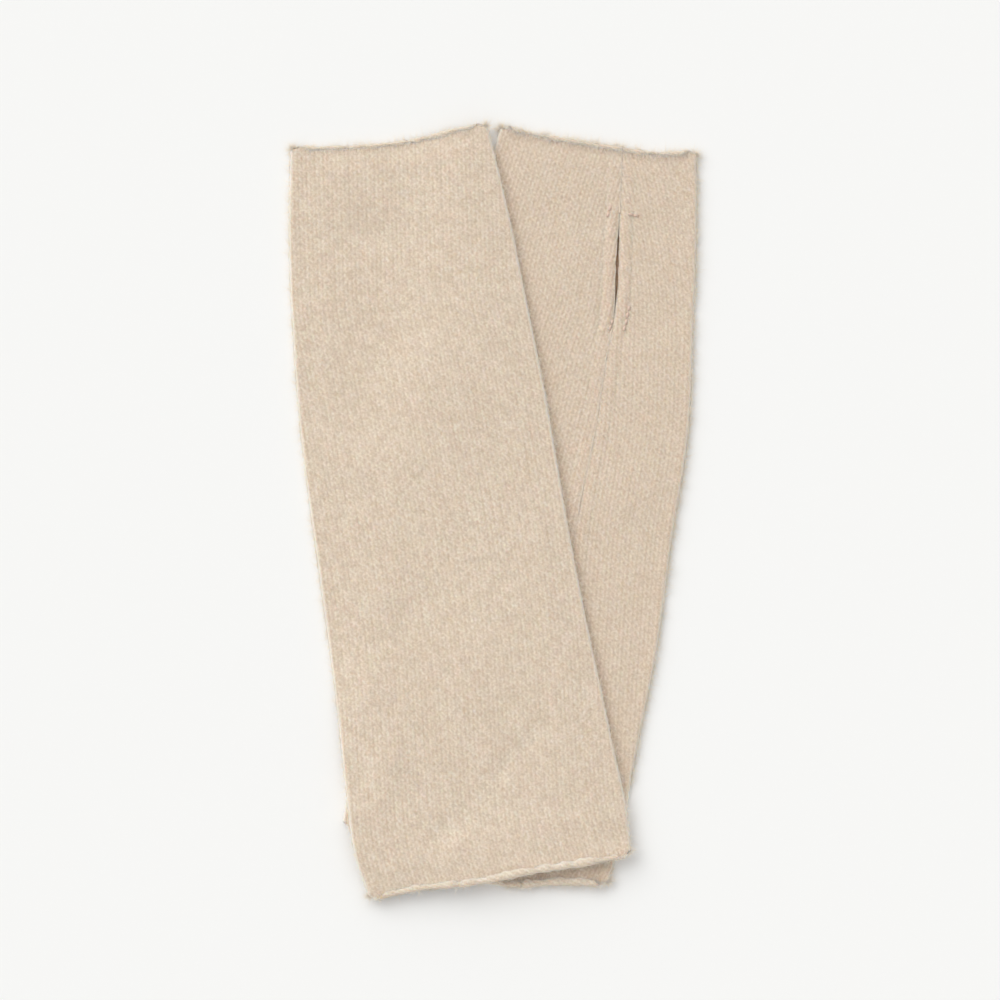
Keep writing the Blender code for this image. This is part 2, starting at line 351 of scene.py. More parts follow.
LOWER = Warmer(
    name="lower_knit",
    node="lower_warmer",
    side=1,
    seam_layer=TOP,
    seam_fold=OUTER,
    lay=LOWER_LAY,
    ends=LOWER_ENDS,
    loft=LOWER_LOFT,
    swells=LOWER_SWELLS,
    deeper=0.5,
    seed=SEED,
)
UPPER = Warmer(
    name="upper_knit",
    node="upper_warmer",
    side=-1,
    seam_layer=BOTTOM,
    seam_fold=INNER,
    lay=UPPER_LAY,
    ends=UPPER_ENDS,
    loft=UPPER_LOFT,
    swells=UPPER_SWELLS,
    deeper=0.0,
    seed=SEED + 1,
)


def smooth(rows, column, at):
    """The named column on a smooth curve through the rows, read at a value of the table's first column."""
    xs = next(iter(rows.values()))
    ys = rows[column]
    slopes = np.gradient(ys, xs)
    at = np.clip(at, xs[0], xs[-1])
    row = np.clip(np.searchsorted(xs, at) - 1, 0, len(xs) - 2)
    step = xs[row + 1] - xs[row]
    s = (at - xs[row]) / step
    start = (1 + 2 * s) * (1 - s) ** 2 * ys[row] + s * (1 - s) ** 2 * step * slopes[row]
    end = s**2 * (3 - 2 * s) * ys[row + 1] - s**2 * (1 - s) * step * slopes[row + 1]
    return start + end


def ease(s):
    """0 to 1 with a soft start and a soft end."""
    s = np.clip(s, 0.0, 1.0)
    return s * s * (3 - 2 * s)


def end_fade(along, run):
    """1 at either end of the warmer, easing to 0 over the run."""
    return 1 - ease(np.minimum(along, LENGTH - along) / run)


def full_turn(along, on_top):
    """How far the nearer end rolls, in degrees."""
    hand = along < LENGTH / 2
    top = np.where(hand, HAND_ROLL, ARM_ROLL)
    return np.where(on_top, top, np.where(hand, UNDER_HAND_ROLL, UNDER_ARM_ROLL))


def roll_radius(along):
    return np.where(along < LENGTH / 2, HAND_RADIUS, ARM_RADIUS)


def end_lift(along):
    """How far the cloth rises near an end, to stand on the roll under it."""
    depth = roll_radius(along) * (1 - np.cos(np.radians(full_turn(along, False))))
    return np.maximum(depth - WALL + ROLL_CLEARANCE, 0) * end_fade(along, END_RUN)


def wobble(at, wave, seed):
    """A soft random wave between -1 and 1."""
    values = np.random.default_rng(seed).uniform(-1, 1, WAVE_VALUES)
    step = np.asarray(at) / wave + WAVE_START
    low = np.floor(step).astype(int) % (WAVE_VALUES - 1)
    return values[low] + (values[low + 1] - values[low]) * ease(step - np.floor(step))


def flat_width(warmer, along):
    """The knit's width from fold to fold. The nap makes up the rest of the solid's width."""
    return smooth(CUT, "width", along) + smooth(warmer.lay, "spread", along) - 2 * NAP_INSET


def girth(warmer, along):
    """The length all round the outside of the flattened tube."""
    return 2 * (flat_width(warmer, along) - 2 * EDGE + FOLD_ARC)


def directions(warmer, along):
    """Unit vectors on the table: from the outer fold to the inner one, and from the hand to the arm."""
    turn = np.radians(smooth(warmer.lay, "turn", along))
    inward = np.stack([-warmer.side * np.cos(turn), np.sin(turn)], axis=-1)
    armward = np.stack([-warmer.side * np.sin(turn), -np.cos(turn)], axis=-1)
    return inward, armward


def place(warmer, along, across):
    """Where a place on the warmer lies on the table."""
    width = flat_width(warmer, along)
    inward, armward = directions(warmer, along)
    share = across / width
    corner = CORNER * (1 - ease(np.minimum(across, width - across) / CORNER_RUN))
    bow = (smooth(warmer.ends, "hand_bow", share) + corner) * (1 - ease(along / BOW_RUN))
    bow = bow + (smooth(warmer.ends, "arm_bow", share) - corner) * (1 - ease((LENGTH - along) / BOW_RUN))
    middle = np.stack([smooth(warmer.lay, "x", along), smooth(warmer.lay, "y", along)], axis=-1)
    aside = (across - width / 2)[..., None] * inward
    return middle - np.array(BOX_MIDDLE) + aside + bow[..., None] * armward


def layer_gap(warmer, along, across):
    """The space between the two layers, which widens at the folds and at the open ends."""
    width = flat_width(warmer, along)
    to_fold = np.minimum(across, width - across)
    hand = smooth(warmer.ends, "hand_gape", across / width)
    arm = smooth(warmer.ends, "arm_gape", across / width)
    gape = np.where(along < LENGTH / 2, hand, arm) * end_fade(along, GAPE_RUN)
    return LAYER_GAP + (FOLD_GAP - LAYER_GAP) * (1 - ease(to_fold / PILLOW)) + gape


def slit_opening(along):
    """How far the slit's lips stand apart: a long uneven lens."""
    share = np.clip((along - OPENING_START) / (OPENING_END - OPENING_START), 0, 1)
    return OPENING * np.sin(math.pi * share) * (1 + OPENING_UNEVEN * wobble(along, OPENING_WAVE, SEED))


def beside_slit(along):
    """1 beside the slit, easing to 0 beyond its ends."""
    return ease((along - SLIT_START) / SLIT_FADE + 1) * ease((SLIT_END - along) / SLIT_FADE + 1)


def on_band(from_seam):
    """1 on the turned edges beside the seam, easing to 0 at their foot."""
    return 1 - ease((from_seam - BAND) / (BAND_FOOT - BAND))


def seam_relief(warmer, along, from_seam):
    """How far the turned edges beside the seam and the slit stand up from the cloth. Each ends in a groove.
    Where the warmer rests on them they're pressed flat."""
    near_slit = beside_slit(along)
    inside_ends = 1 - end_fade(along, END_RUN)
    relief = SEAM_RELIEF + (SLIT_RELIEF - SEAM_RELIEF) * near_slit
    relief = relief * inside_ends * on_band(from_seam)
    groove = BAND_GROOVE * inside_ends * (1 + near_slit) / 2 * np.exp(-((from_seam - BAND_FOOT) ** 2))
    drop = SEAM_DROP + (LIP_DROP - SEAM_DROP) * near_slit
    relief = relief - groove - (relief + drop) * (1 - ease(from_seam / LIP))
    return relief if warmer.seam_layer == TOP else np.minimum(relief, 0)


def swell(warmer, flat):
    """How far the top layer's soft swells and dents lift it."""
    lift = np.full(flat.shape[:-1], warmer.loft)
    for x, y, long, wide, turn, height in zip(*warmer.swells.values()):
        away = flat - np.array((x, y))
        line = np.array((math.cos(math.radians(turn)), math.sin(math.radians(turn))))
        lengthwise = away @ line / long
        sideways = (away[..., 0] * line[1] - away[..., 1] * line[0]) / wide
        lift += height * np.exp(-(lengthwise**2) - sideways**2)
    return lift.clip(0)


def wrap(warmer, along, round_tube):
    """Where a distance round the tube lies across the warmer, and how far its outward normal points sideways
    and up."""
    width = flat_width(warmer, along)
    near = smooth(CUT, "seam", along) - NAP_INSET
    near_fold = near - EDGE
    other_layer = near_fold + FOLD_ARC
    far_fold = other_layer + width - 2 * EDGE
    back = far_fold + FOLD_ARC
    turned = np.clip((round_tube - near_fold) / FOLD_ARC, 0, 1)
    turned = turned - np.clip((round_tube - far_fold) / FOLD_ARC, 0, 1)
    angle = math.pi * (0.5 - turned)
    beyond = np.where(round_tube < (other_layer + far_fold) / 2, -1, 1)
    reach = near - np.clip(round_tube, 0, near_fold)
    reach = reach + np.clip(round_tube - other_layer, 0, far_fold - other_layer)
    reach = reach - np.maximum(round_tube - back, 0)
    from_seam = np.minimum(round_tube, girth(warmer, along) - round_tube)
    reach = reach + beyond * slit_opening(along) / 2 * (1 - ease(from_seam / SLIT_PULL))
    reach = reach + beyond * np.cos(angle) * FOLD_GAP / 2
    upward = warmer.seam_layer * np.sin(angle)
    sideways = warmer.seam_fold * beyond * np.cos(angle)
    across = reach if warmer.seam_fold == OUTER else width - reach
    return across, sideways, upward


def inside_points(warmer, along, round_tube, floor):
    """The inside of the tube where it lies: points, outward normals, and each point's distance to a fold."""
    across, sideways, upward = wrap(warmer, along, round_tube)
    flat = place(warmer, along, across)
    inward, _ = directions(warmer, along)
    to_fold = np.minimum(across, flat_width(warmer, along) - across)
    inner_part = ease(to_fold / SWELL_FADE) * (1 - end_fade(along, END_RUN))
    gap = layer_gap(warmer, along, across) + swell(warmer, flat) * inner_part
    z = floor(flat) + WALL + end_lift(along) + gap * (1 + upward) / 2
    points = np.concatenate([flat, z[..., None]], axis=-1)
    normals = np.concatenate([sideways[..., None] * inward, upward[..., None]], axis=-1)
    return points, normals, to_fold


def curled(warmer, points, normals, to_fold, along, round_tube, share):
    """The points and normals of the rolled ends. share is how much of its roll each row has made. On top the
    roll flattens as it comes round, and its free edge sinks into the cloth."""
    on_top = normals[..., 2] > 0
    turn_wave = on_top * wobble(round_tube + 3 * along, ROLL_WAVE, warmer.seed)
    full = full_turn(along, on_top) * (1 + TURN_UNEVEN * turn_wave)
    turn = np.radians(ROLL_AT_FOLD + (full - ROLL_AT_FOLD) * ease(to_fold / ROLL_FADE))
    angle = turn * share
    radius_wave = on_top * wobble(round_tube + along, ROLL_WAVE, warmer.seed + 1)
    radius = roll_radius(along) * (1 + RADIUS_UNEVEN * radius_wave)
    reach = radius * np.sin(angle) * np.where(angle > math.pi, ROLL_SPREAD, 1.0)
    reach = reach + RAGGED * share * wobble(round_tube + along, RAGGED_WAVE, warmer.seed + 2)
    sink = np.where(along < LENGTH / 2, HAND_SINK, ARM_SINK)
    height = radius * (1 - np.cos(angle)) - sink * on_top * share**2
    _, armward = directions(warmer, along)
    outward = np.where(along < LENGTH / 2, -1, 1)[..., None] * armward
    outward = np.concatenate([outward, np.zeros_like(outward[..., :1])], axis=-1)
    rolled = points + reach[..., None] * outward + height[..., None] * normals
    return rolled, np.cos(angle)[..., None] * normals - np.sin(angle)[..., None] * outward


def stitch_relief(rows, columns, rng):
    """Height of each point in its stitch, 0 to 1, how far it moves round the tube to slant the stitch's legs,
    and a tone that differs from leg to leg."""
    foot = (-rows) % ROWS
    kind = columns % COLUMNS
    heights = np.array([
        STITCH_HEIGHTS["between wales"],
        STITCH_HEIGHTS["leg"],
        STITCH_HEIGHTS["between legs"],
        STITCH_HEIGHTS["leg"],
    ])
    height = heights[kind, foot]
    uneven = rng.uniform(-UNEVEN, UNEVEN, height.shape)
    leg = np.array([0, 1, 0, -1])[kind]
    slant = leg * (1 - foot) * LEG_SLANT * WALE / COLUMNS
    course = (rows - rows.min()) // ROWS
    half_wale = columns // 2
    tones = rng.uniform(0, 1, (course.max() + 1, half_wale.max() + 1))
    return np.clip(height + uneven, 0, 1), slant, tones[course, half_wale]


class Panel(NamedTuple):
    """The knitted panel as a grid: for each row its distance along and its share of a roll, and where each
    point lies round the tube. first and last are the columns on the panel's two edges, in each row."""

    rows: np.ndarray
    along: np.ndarray
    roll: np.ndarray
    columns: np.ndarray
    round_tube: np.ndarray
    first: np.ndarray
    last: np.ndarray


def panel_grid(warmer):
    rows = np.arange(-ROLL_ROWS, COURSES * ROWS + ROLL_ROWS + 1)
    along = np.clip(rows * COURSE / ROWS, 0, LENGTH)
    roll = np.maximum(-rows, rows - COURSES * ROWS).clip(0) / ROLL_ROWS
    half = girth(warmer, along) / 2
    spacing = WALE / COLUMNS
    most = math.ceil(half.max() / spacing)
    columns = np.arange(-most, most + 1)
    offset = columns[None, :] * spacing
    round_tube = np.clip(offset + half[:, None], 0, 2 * half[:, None])
    first = np.searchsorted(columns * spacing, -half, side="right") - 1
    last = np.searchsorted(columns * spacing, half, side="left")
    return Panel(rows, along[:, None], roll[:, None], columns + most * COLUMNS, round_tube, first, last)


def faces_of(first, last, count, flip):
    """The faces of a grid whose rows have their own ends. Points past those fold onto the edge."""
    rows = len(first)
    column = np.clip(np.arange(count)[None, :], first[:, None], last[:, None])
    index = np.arange(rows)[:, None] * count + column
    corners = [index[:-1, :-1], index[:-1, 1:], index[1:, 1:], index[1:, :-1]]
    corners = np.stack(corners[::-1] if flip else corners, axis=-1).reshape(-1, 4)
    whole = (corners[:, 0] != corners[:, 1]) & (corners[:, 2] != corners[:, 3])
    whole &= (corners[:, 1] != corners[:, 2]) & (corners[:, 3] != corners[:, 0])
    faces = corners[whole].tolist()
    for corner in corners[~whole].tolist():
        kept = list(dict.fromkeys(corner))
        if len(kept) == 3:
            faces.append(kept)
    return faces


def rim_faces(panel, lining_rows, flip):
    """The narrow faces that join the knit side to its lining along the panel's edges and ends."""
    count = len(panel.columns)
    base = len(panel.rows) * count
    faces = []
    for place_in, (row, beyond) in enumerate(zip(lining_rows[:-1], lining_rows[1:])):
        for edge, way in ((panel.first, 1), (panel.last, -1)):
            outer = [r * count + edge[r] for r in range(row, beyond + 1)]
            inner = [base + place_in * count + edge[row], base + (place_in + 1) * count + edge[beyond]]
            faces.append((outer[::-1] + inner)[:: way * flip])
    for row, place_in, way in ((0, 0, 1), (len(panel.rows) - 1, len(lining_rows) - 1, -1)):
        for column in range(panel.first[row], panel.last[row]):
            outer = [row * count + column, row * count + column + 1]
            inner = [base + place_in * count + column + 1, base + place_in * count + column]
            faces.append((outer[::-1] + inner[::-1])[:: -way * flip])
    return faces


def cloth_surface(warmer, panel, floor, outward, slant=0.0):
    """The panel's surface at a distance outward from the inside of the tube, rolled at its ends, and how far
    each point has turned from facing up or down, 0 to 1."""
    round_tube = np.clip(panel.round_tube + slant, 0, girth(warmer, panel.along))
    points, normals, to_fold = inside_points(warmer, panel.along, round_tube, floor)
    rolled, facing = curled(warmer, points, normals, to_fold, panel.along, panel.round_tube, panel.roll)
    turned = (2 - 2 * np.abs(facing[..., 2])).clip(0, 1)
    return rolled + facing * (outward * (1 - ROLL_THIN * panel.roll))[..., None], turned


def bare_table(flat):
    return np.zeros(flat.shape[:-1])


def uncovered(flat):
    return np.zeros(flat.shape[:-1], bool)


def floor_over(surface):
    """A function for how high the cloth over this surface rests. It bridges each step in a soft slope."""
    points = surface.reshape(-1, 3)
    reach = math.ceil(STEP_RUN * (1 + STEP_UNEVEN) * (points[:, 2].max() + CLEARANCE) / LATTICE)
    start = points[:, :2].min(0) - (reach + 1) * LATTICE
    size = np.ceil((points[:, :2].max(0) - start) / LATTICE).astype(int) + reach + 2
    cell = np.round((points[:, :2] - start) / LATTICE).astype(int)
    under = np.zeros(size)
    np.maximum.at(under, (cell[:, 0], cell[:, 1]), points[:, 2] + CLEARANCE)
    down_table = start[1] + LATTICE * np.arange(size[1])
    run = STEP_RUN * (1 + STEP_UNEVEN * wobble(down_table, STEP_WAVE, SEED))
    rest = under.copy()
    for dx in range(-reach, reach + 1):
        for dy in range(-reach, reach + 1):
            away = math.hypot(dx, dy) * LATTICE
            if away > reach * LATTICE:
                continue
            near = np.roll(under, (dx, dy), (0, 1))
            slope = (away / (run * np.maximum(near, LATTICE / STEP_RUN)) - STEP_TOP) / (1 - STEP_TOP)
            rest = np.maximum(rest, near * (1 - ease(slope)))
    for _ in range(LATTICE_BLURS):
        for axis in (0, 1):
            rest = (np.roll(rest, 1, axis) + 2 * rest + np.roll(rest, -1, axis)) / 4

    def floor(flat):
        at = (flat - start) / LATTICE
        at = np.clip(at, 0, np.array(size) - 1 - JUST_INSIDE)
        low = at.astype(int)
        x, y = np.moveaxis(at - low, -1, 0)
        i, j = np.moveaxis(low, -1, 0)
        near_row = rest[i, j] * (1 - y) + rest[i, j + 1] * y
        far_row = rest[i + 1, j] * (1 - y) + rest[i + 1, j + 1] * y
        return near_row * (1 - x) + far_row * x

    return floor


def covered_by(surface):
    """A function for whether a place on the table lies under this surface or right beside it."""
    points = surface.reshape(-1, 3)[:, :2]
    start = points.min(0) - 3 * LATTICE
    size = np.ceil((points.max(0) - start) / LATTICE).astype(int) + 4
    cell = np.round((points - start) / LATTICE).astype(int)
    under = np.zeros(size, bool)
    under[cell[:, 0], cell[:, 1]] = True
    for axis in (0, 1):
        under |= np.roll(under, 1, axis) | np.roll(under, -1, axis)

    def covered(flat):
        at = np.round((flat - start) / LATTICE).astype(int).clip(0, size - 1)
        return under[at[..., 0], at[..., 1]]

    return covered


def lining_of(panel):
    """The same panel with fewer rows, for the side within the tube."""
    last = len(panel.rows) - 1
    middle = np.arange(ROLL_ROWS, last - ROLL_ROWS, LINING_STEP)
    rows = np.unique(np.concatenate([np.arange(ROLL_ROWS), middle, np.arange(last - ROLL_ROWS, last + 1)]))
    lining = panel._replace(
        rows=panel.rows[rows],
        along=panel.along[rows],
        roll=panel.roll[rows],
        round_tube=panel.round_tube[rows],
        first=panel.first[rows],
        last=panel.last[rows],
    )
    return lining, rows


def knit_side(warmer, panel, floor, rng):
    """The side that shows, with every stitch: its points, and the looks of each."""
    from_seam = np.minimum(panel.round_tube, girth(warmer, panel.along) - panel.round_tube)
    height, slant, tone = stitch_relief(panel.rows[:, None], panel.columns[None, :], rng)
    inside_edge = ease(from_seam / LIP)
    outward = WALL - STITCH_DEPTH * (1 - height) * inside_edge + seam_relief(warmer, panel.along, from_seam)
    ragged = rng.uniform(*BAND_RAGGED, height.shape) * (1 + beside_slit(panel.along)) / 2
    outward += ragged * inside_edge * on_band(from_seam) * (panel.roll == 0)
    points, turned = cloth_surface(warmer, panel, floor, outward, slant * inside_edge)
    looks = {
        # How deep the point lies between the stitches, which sets the painted shade there
        "groove": 1 - height,
        "tone": warmer.deeper + (1 - warmer.deeper) * tone,
        "nap": (from_seam > LIP) & (panel.roll == 0),
        "within": np.zeros(height.shape),
        # How far the cloth turns from facing up, which sets the painted light on the folds
        "folds": turned,
    }
    return points, looks


def purl_side(warmer, lining, floor, rng):
    """The side within the tube, with purl bumps where it rolls out: its points, and the looks of each."""
    on_roll = lining.roll > 0
    bumps = (lining.columns[None, :] // 2 % 2) ^ (lining.rows[:, None] % 2)
    points, turned = cloth_surface(warmer, lining, floor, INNER_SKIN - PURL * bumps * on_roll)
    looks = {
        # Painted shade between the purl bumps, less of it on the bumps
        "groove": PURL_SHADE_BETWEEN - (PURL_SHADE_BETWEEN - PURL_SHADE_ON_BUMP) * bumps,
        "tone": rng.uniform(0, 1, bumps.shape),
        "nap": NAP_AND_PAINTED_LIGHT_ON_ROLLS * on_roll * np.ones(bumps.shape),
        # Marks the lining within the tube for the painted shade there
        "within": ~on_roll * np.ones(bumps.shape),
        # The painted light on the rolls, where they turn from facing up
        "folds": NAP_AND_PAINTED_LIGHT_ON_ROLLS * turned,
    }
    return points, looks


def knit_mesh(warmer, floor):
    """The whole panel as one closed mesh. Its attributes are how deep a point lies between the stitches, for
    the painted shade there, how dark its stitch is, how much nap it has, whether it lies within the tube, for
    the painted shade there, and how far a fold or a roll has turned it, for the painted light there."""
    rng = np.random.default_rng(warmer.seed)
    panel = panel_grid(warmer)
    lining, lining_rows = lining_of(panel)
    outside, outside_looks = knit_side(warmer, panel, floor, rng)
    inside, inside_looks = purl_side(warmer, lining, floor, rng)

    flip = warmer.side * warmer.seam_layer * warmer.seam_fold
    count = len(panel.columns)
    faces = faces_of(panel.first, panel.last, count, flip < 0)
    lined = faces_of(lining.first, lining.last, count, flip > 0)
    shift = len(panel.rows) * count
    faces += [[corner + shift for corner in face] for face in lined]
    smooth_faces = len(faces)
    faces += rim_faces(panel, lining_rows.tolist(), flip)

    points = np.concatenate([outside.reshape(-1, 3), inside.reshape(-1, 3)])
    looks = {look: np.append(values, inside_looks[look]) for look, values in outside_looks.items()}
    return mesh_of(warmer.name, points, faces, smooth_faces, looks)


def mesh_of(name, points, faces, smooth_faces, looks):
    """A mesh of the faces and of the points that they use, with each look as an attribute. The first
    smooth_faces are smooth, and the rest are flat."""
    used = np.zeros(len(points), bool)
    used[np.concatenate([np.asarray(face) for face in faces])] = True
    renumber = np.cumsum(used) - 1
    mesh = bpy.data.meshes.new(name)
    mesh.from_pydata((points[used] * MM).tolist(), [], [renumber[face].tolist() for face in faces])
    for look, values in looks.items():
        mesh.attributes.new(look, "FLOAT", "POINT").data.foreach_set("value", values[used].astype(np.float32))
    mesh.polygons.foreach_set("use_smooth", np.arange(len(faces)) < smooth_faces)
    mesh.update()
    return mesh


def smooth_surface(warmer, floor):
    """The warmer's knit side without its stitches, for what lies on it."""
    panel = panel_grid(warmer)
    from_seam = np.minimum(panel.round_tube, girth(warmer, panel.along) - panel.round_tube)
    outward = WALL + seam_relief(warmer, panel.along, from_seam).clip(0)
    surface, _ = cloth_surface(warmer, panel, floor, outward)
    return surface


def tube_mesh(name, paths, radii):
    """Thin tubes joined into one mesh. paths is an array by tube, point and place, and radii has a radius for
    each point."""
    tangents = np.gradient(paths, axis=1)
    tangents /= np.linalg.norm(tangents, axis=-1, keepdims=True)
    helper = np.where(np.abs(tangents[:, :1, 2:]) < UPRIGHT, (0.0, 0.0, 1.0), (1.0, 0.0, 0.0))
    across = np.cross(tangents, helper)
    across /= np.linalg.norm(across, axis=-1, keepdims=True)
    upward = np.cross(tangents, across)
    angle = np.linspace(0, 2 * math.pi, STRAND_SIDES, endpoint=False)[:, None]
    ring = np.cos(angle) * across[:, :, None] + np.sin(angle) * upward[:, :, None]
    points = paths[:, :, None] + np.asarray(radii)[:, None, None] * ring
    index = np.arange(points.size // 3).reshape(points.shape[:-1])
    beyond = np.roll(index, -1, axis=2)
    walls = np.stack([index[:, :-1], beyond[:, :-1], beyond[:, 1:], index[:, 1:]], axis=-1).reshape(-1, 4)
    caps = np.concatenate([index[:, 0, ::-1], index[:, -1]])
    mesh = bpy.data.meshes.new(name)
    mesh.from_pydata(points.reshape(-1, 3).tolist(), [], walls.tolist() + caps.tolist())
    mesh.shade_smooth()
    mesh.update()
    return mesh


def read_points(mesh, collection, name, width):
    """One property of all the mesh's points, as an array."""
    values = np.empty(len(mesh.vertices) * width, np.float32)
    collection.foreach_get(name, values)
    return values.reshape(-1, width).astype(float)


def nap_mesh(warmer, knit, covered):
    """Fine straight hairs rooted in the knit, each a slim spike, most of them on its folds and ends."""
    rng = np.random.default_rng(warmer.seed + 10)
    roots = read_points(knit, knit.vertices, "co", 3) / MM
    normals = read_points(knit, knit.vertices, "normal", 3)
    weight = read_points(knit, knit.attributes["nap"].data, "value", 1)[:, 0]
    weight *= 1 + HAIRS_AT_EDGES * (1 - np.abs(normals[:, 2])) ** 2
    weight[normals[:, 2] < LOWEST_ROOT] = 0
    weight[covered(roots[:, :2])] = 0
    chosen = rng.choice(len(roots), HAIRS, p=weight / weight.sum())
    way = normals[chosen] + rng.normal(0, HAIR_LEAN, (HAIRS, 3))
    way[:, 2] = HAIR_RISE * np.abs(way[:, 2])
    way /= np.linalg.norm(way, axis=1, keepdims=True)
    length = rng.uniform(*HAIR_LENGTH, (HAIRS, 1)) * rng.uniform(HAIR_WORN, 1, (HAIRS, 1))
    side = np.cross(way, np.where(np.abs(way[:, 2:]) < UPRIGHT, (0.0, 0.0, 1.0), (1.0, 0.0, 0.0)))
    side /= np.linalg.norm(side, axis=1, keepdims=True)
    angle = np.linspace(0, 2 * math.pi, 3, endpoint=False)[:, None]
    ring = HAIR_RADIUS * (np.cos(angle) * side[:, None] + np.sin(angle) * np.cross(way, side)[:, None])
    root = roots[chosen][:, None]
    points = np.concatenate([root + ring, root + (length * way)[:, None]], axis=1)
    points[..., 2] = np.maximum(points[..., 2], TABLE_CLEARANCE)
    spike = np.array([(0, 2, 1), (0, 1, 3), (1, 2, 3), (2, 0, 3)])
    faces = spike[None] + 4 * np.arange(HAIRS)[:, None, None]
    mesh = bpy.data.meshes.new(warmer.name + "_nap")
    mesh.from_pydata((points.reshape(-1, 3) * MM).tolist(), [], faces.reshape(-1, 3).tolist())
    mesh.update()
    return mesh


def tack_mesh(warmer, floor):
    """The short stitches at the slit's ends. Each dips into the cloth at both of its own ends."""
    share = np.linspace(0, 1, TACK_STEPS)[None, :]
    along = TACKS["along"][:, None] + TACKS["run_along"][:, None] * share
    aside = TACKS["aside"][:, None] + TACKS["run_aside"][:, None] * share
    round_tube = np.where(aside < 0, girth(warmer, along) + aside, aside)
    points, normals, _ = inside_points(warmer, along, round_tube, floor)
    dip = 2 * TACK_RADIUS * (2 * share - 1) ** 4
    outward = WALL + seam_relief(warmer, along, np.abs(aside)) - dip
    paths = points + normals * outward[..., None]
    radii = TACK_RADIUS * (1 - TACK_TAPER * (2 * share[0] - 1) ** 6)
    return tube_mesh(warmer.name + "_tacks", paths * MM, radii * MM)


def seam_mesh(warmer, floor):
    """The yarn that closes the seam, in one run from each end to the slit."""
    runs = np.array([(0.0, SLIT_START), (SLIT_END, LENGTH)])
    along = np.linspace(runs[:, 0], runs[:, 1], SEAM_YARN_STEPS, axis=1)
    sway = SEAM_YARN_SWAY * wobble(along, SEAM_YARN_WAVE, warmer.seed + 3)
    points, normals, _ = inside_points(warmer, along, np.zeros_like(along), floor)
    inward, _ = directions(warmer, along)
    paths = points + normals * (WALL - SEAM_YARN_DEPTH)
    paths[..., :2] += sway[..., None] * inward
    return tube_mesh(warmer.name + "_seam", paths * MM, np.full(SEAM_YARN_STEPS, SEAM_YARN * MM))


def node(tree, kind, x, y, **values):
    made = tree.nodes.new(kind)
    made.location = (x, y)
    for name, value in values.items():
        setattr(made, name, value)
    return made


def mixed(tree, factor, first, second, x, y, blend_type="MIX"):
    """A colour mix. factor is a socket, first a socket or a plain colour, and second a plain colour."""
    mix = node(tree, "ShaderNodeMix", x, y, data_type="RGBA", blend_type=blend_type)
    mix.inputs["B"].default_value = second
    tree.links.new(factor, mix.inputs["Factor"])
    if isinstance(first, bpy.types.NodeSocket):
        tree.links.new(first, mix.inputs["A"])
    else:
        mix.inputs["A"].default_value = first
    return mix.outputs["Result"]


def noise(tree, size, detail, x, y):
    """Noise in the object's own space. size is in millimetres."""
    place_in = node(tree, "ShaderNodeTexCoord", x - 250, y)
    made = node(tree, "ShaderNodeTexNoise", x, y)
    made.inputs["Scale"].default_value = 1 / (size * MM)
    made.inputs["Detail"].default_value = detail
    tree.links.new(place_in.outputs["Object"], made.inputs["Vector"])
    return made.outputs["Fac"]


def knit_material():
    """Oatmeal yarn, a little different from stitch to stitch, with painted shade, darker and warmer, down
    between the stitches and within the tube, and painted light on the folds and rolls.
    """
    material = bpy.data.materials.new("oatmeal_knit")
    material.use_nodes = True
    tree = material.node_tree
    shader = tree.nodes["Principled BSDF"]
    shader.inputs["Roughness"].default_value = 0.95
    shader.inputs["Specular IOR Level"].default_value = 0.15
    shader.inputs["Sheen Weight"].default_value = 0.15
    shader.inputs["Sheen Roughness"].default_value = 0.6
    shader.inputs["Subsurface Weight"].default_value = 0.5
    shader.inputs["Subsurface Radius"].default_value = (1.0, 0.6, 0.35)
    shader.inputs["Subsurface Scale"].default_value = 2.0 * MM

    fibre = noise(tree, FIBRE_SIZE, 5.0, -1200, 0)
    patch = noise(tree, PATCH_SIZE, 2.0, -1200, -300)
    within = node(tree, "ShaderNodeAttribute", -1000, 800, attribute_name="within")
    folds = node(tree, "ShaderNodeAttribute", -1000, 1050, attribute_name="folds")
    tone = node(tree, "ShaderNodeAttribute", -1000, 300, attribute_name="tone")
    groove = node(tree, "ShaderNodeAttribute", -1000, 550, attribute_name="groove")
    speck = node(tree, "ShaderNodeMapRange", -1000, 0)
    speck.inputs["From Min"].default_value = FIBRE_CONTRAST[0]
    speck.inputs["From Max"].default_value = FIBRE_CONTRAST[1]
    tree.links.new(fibre, speck.inputs["Value"])
    colour = mixed(tree, speck.outputs["Result"], YARN_DARK, YARN_LIGHT, -750, 150)
    colour = mixed(tree, tone.outputs["Fac"], colour, DEEP_STITCH, -550, 150, "MULTIPLY")
    colour = mixed(tree, patch, colour, TINTED_PATCH, -450, 150, "MULTIPLY")
    # Painted shade: darker and warmer down between the stitches and the purl bumps
    colour = mixed(tree, groove.outputs["Fac"], colour, SHADE_BETWEEN_STITCHES, -300, 150, "MULTIPLY")
    # Painted light: the folds and rolls are lightened where they turn from facing up into shade
    colour = mixed(tree, folds.outputs["Fac"], colour, PAINTED_LIGHT_AT_FOLDS, -220, 150)
    # Painted shade within the tube, where its narrow inside lies dark
    colour = mixed(tree, within.outputs["Fac"], colour, SHADE_WITHIN_TUBE, -150, 150, "MULTIPLY")
    tree.links.new(colour, shader.inputs["Base Color"])

    bump = node(tree, "ShaderNodeBump", -350, -250)
    bump.inputs["Strength"].default_value = 0.8
    bump.inputs["Distance"].default_value = FIBRE_RELIEF * MM
    tree.links.new(fibre, bump.inputs["Height"])
    tree.links.new(bump.outputs["Normal"], shader.inputs["Normal"])
    return material


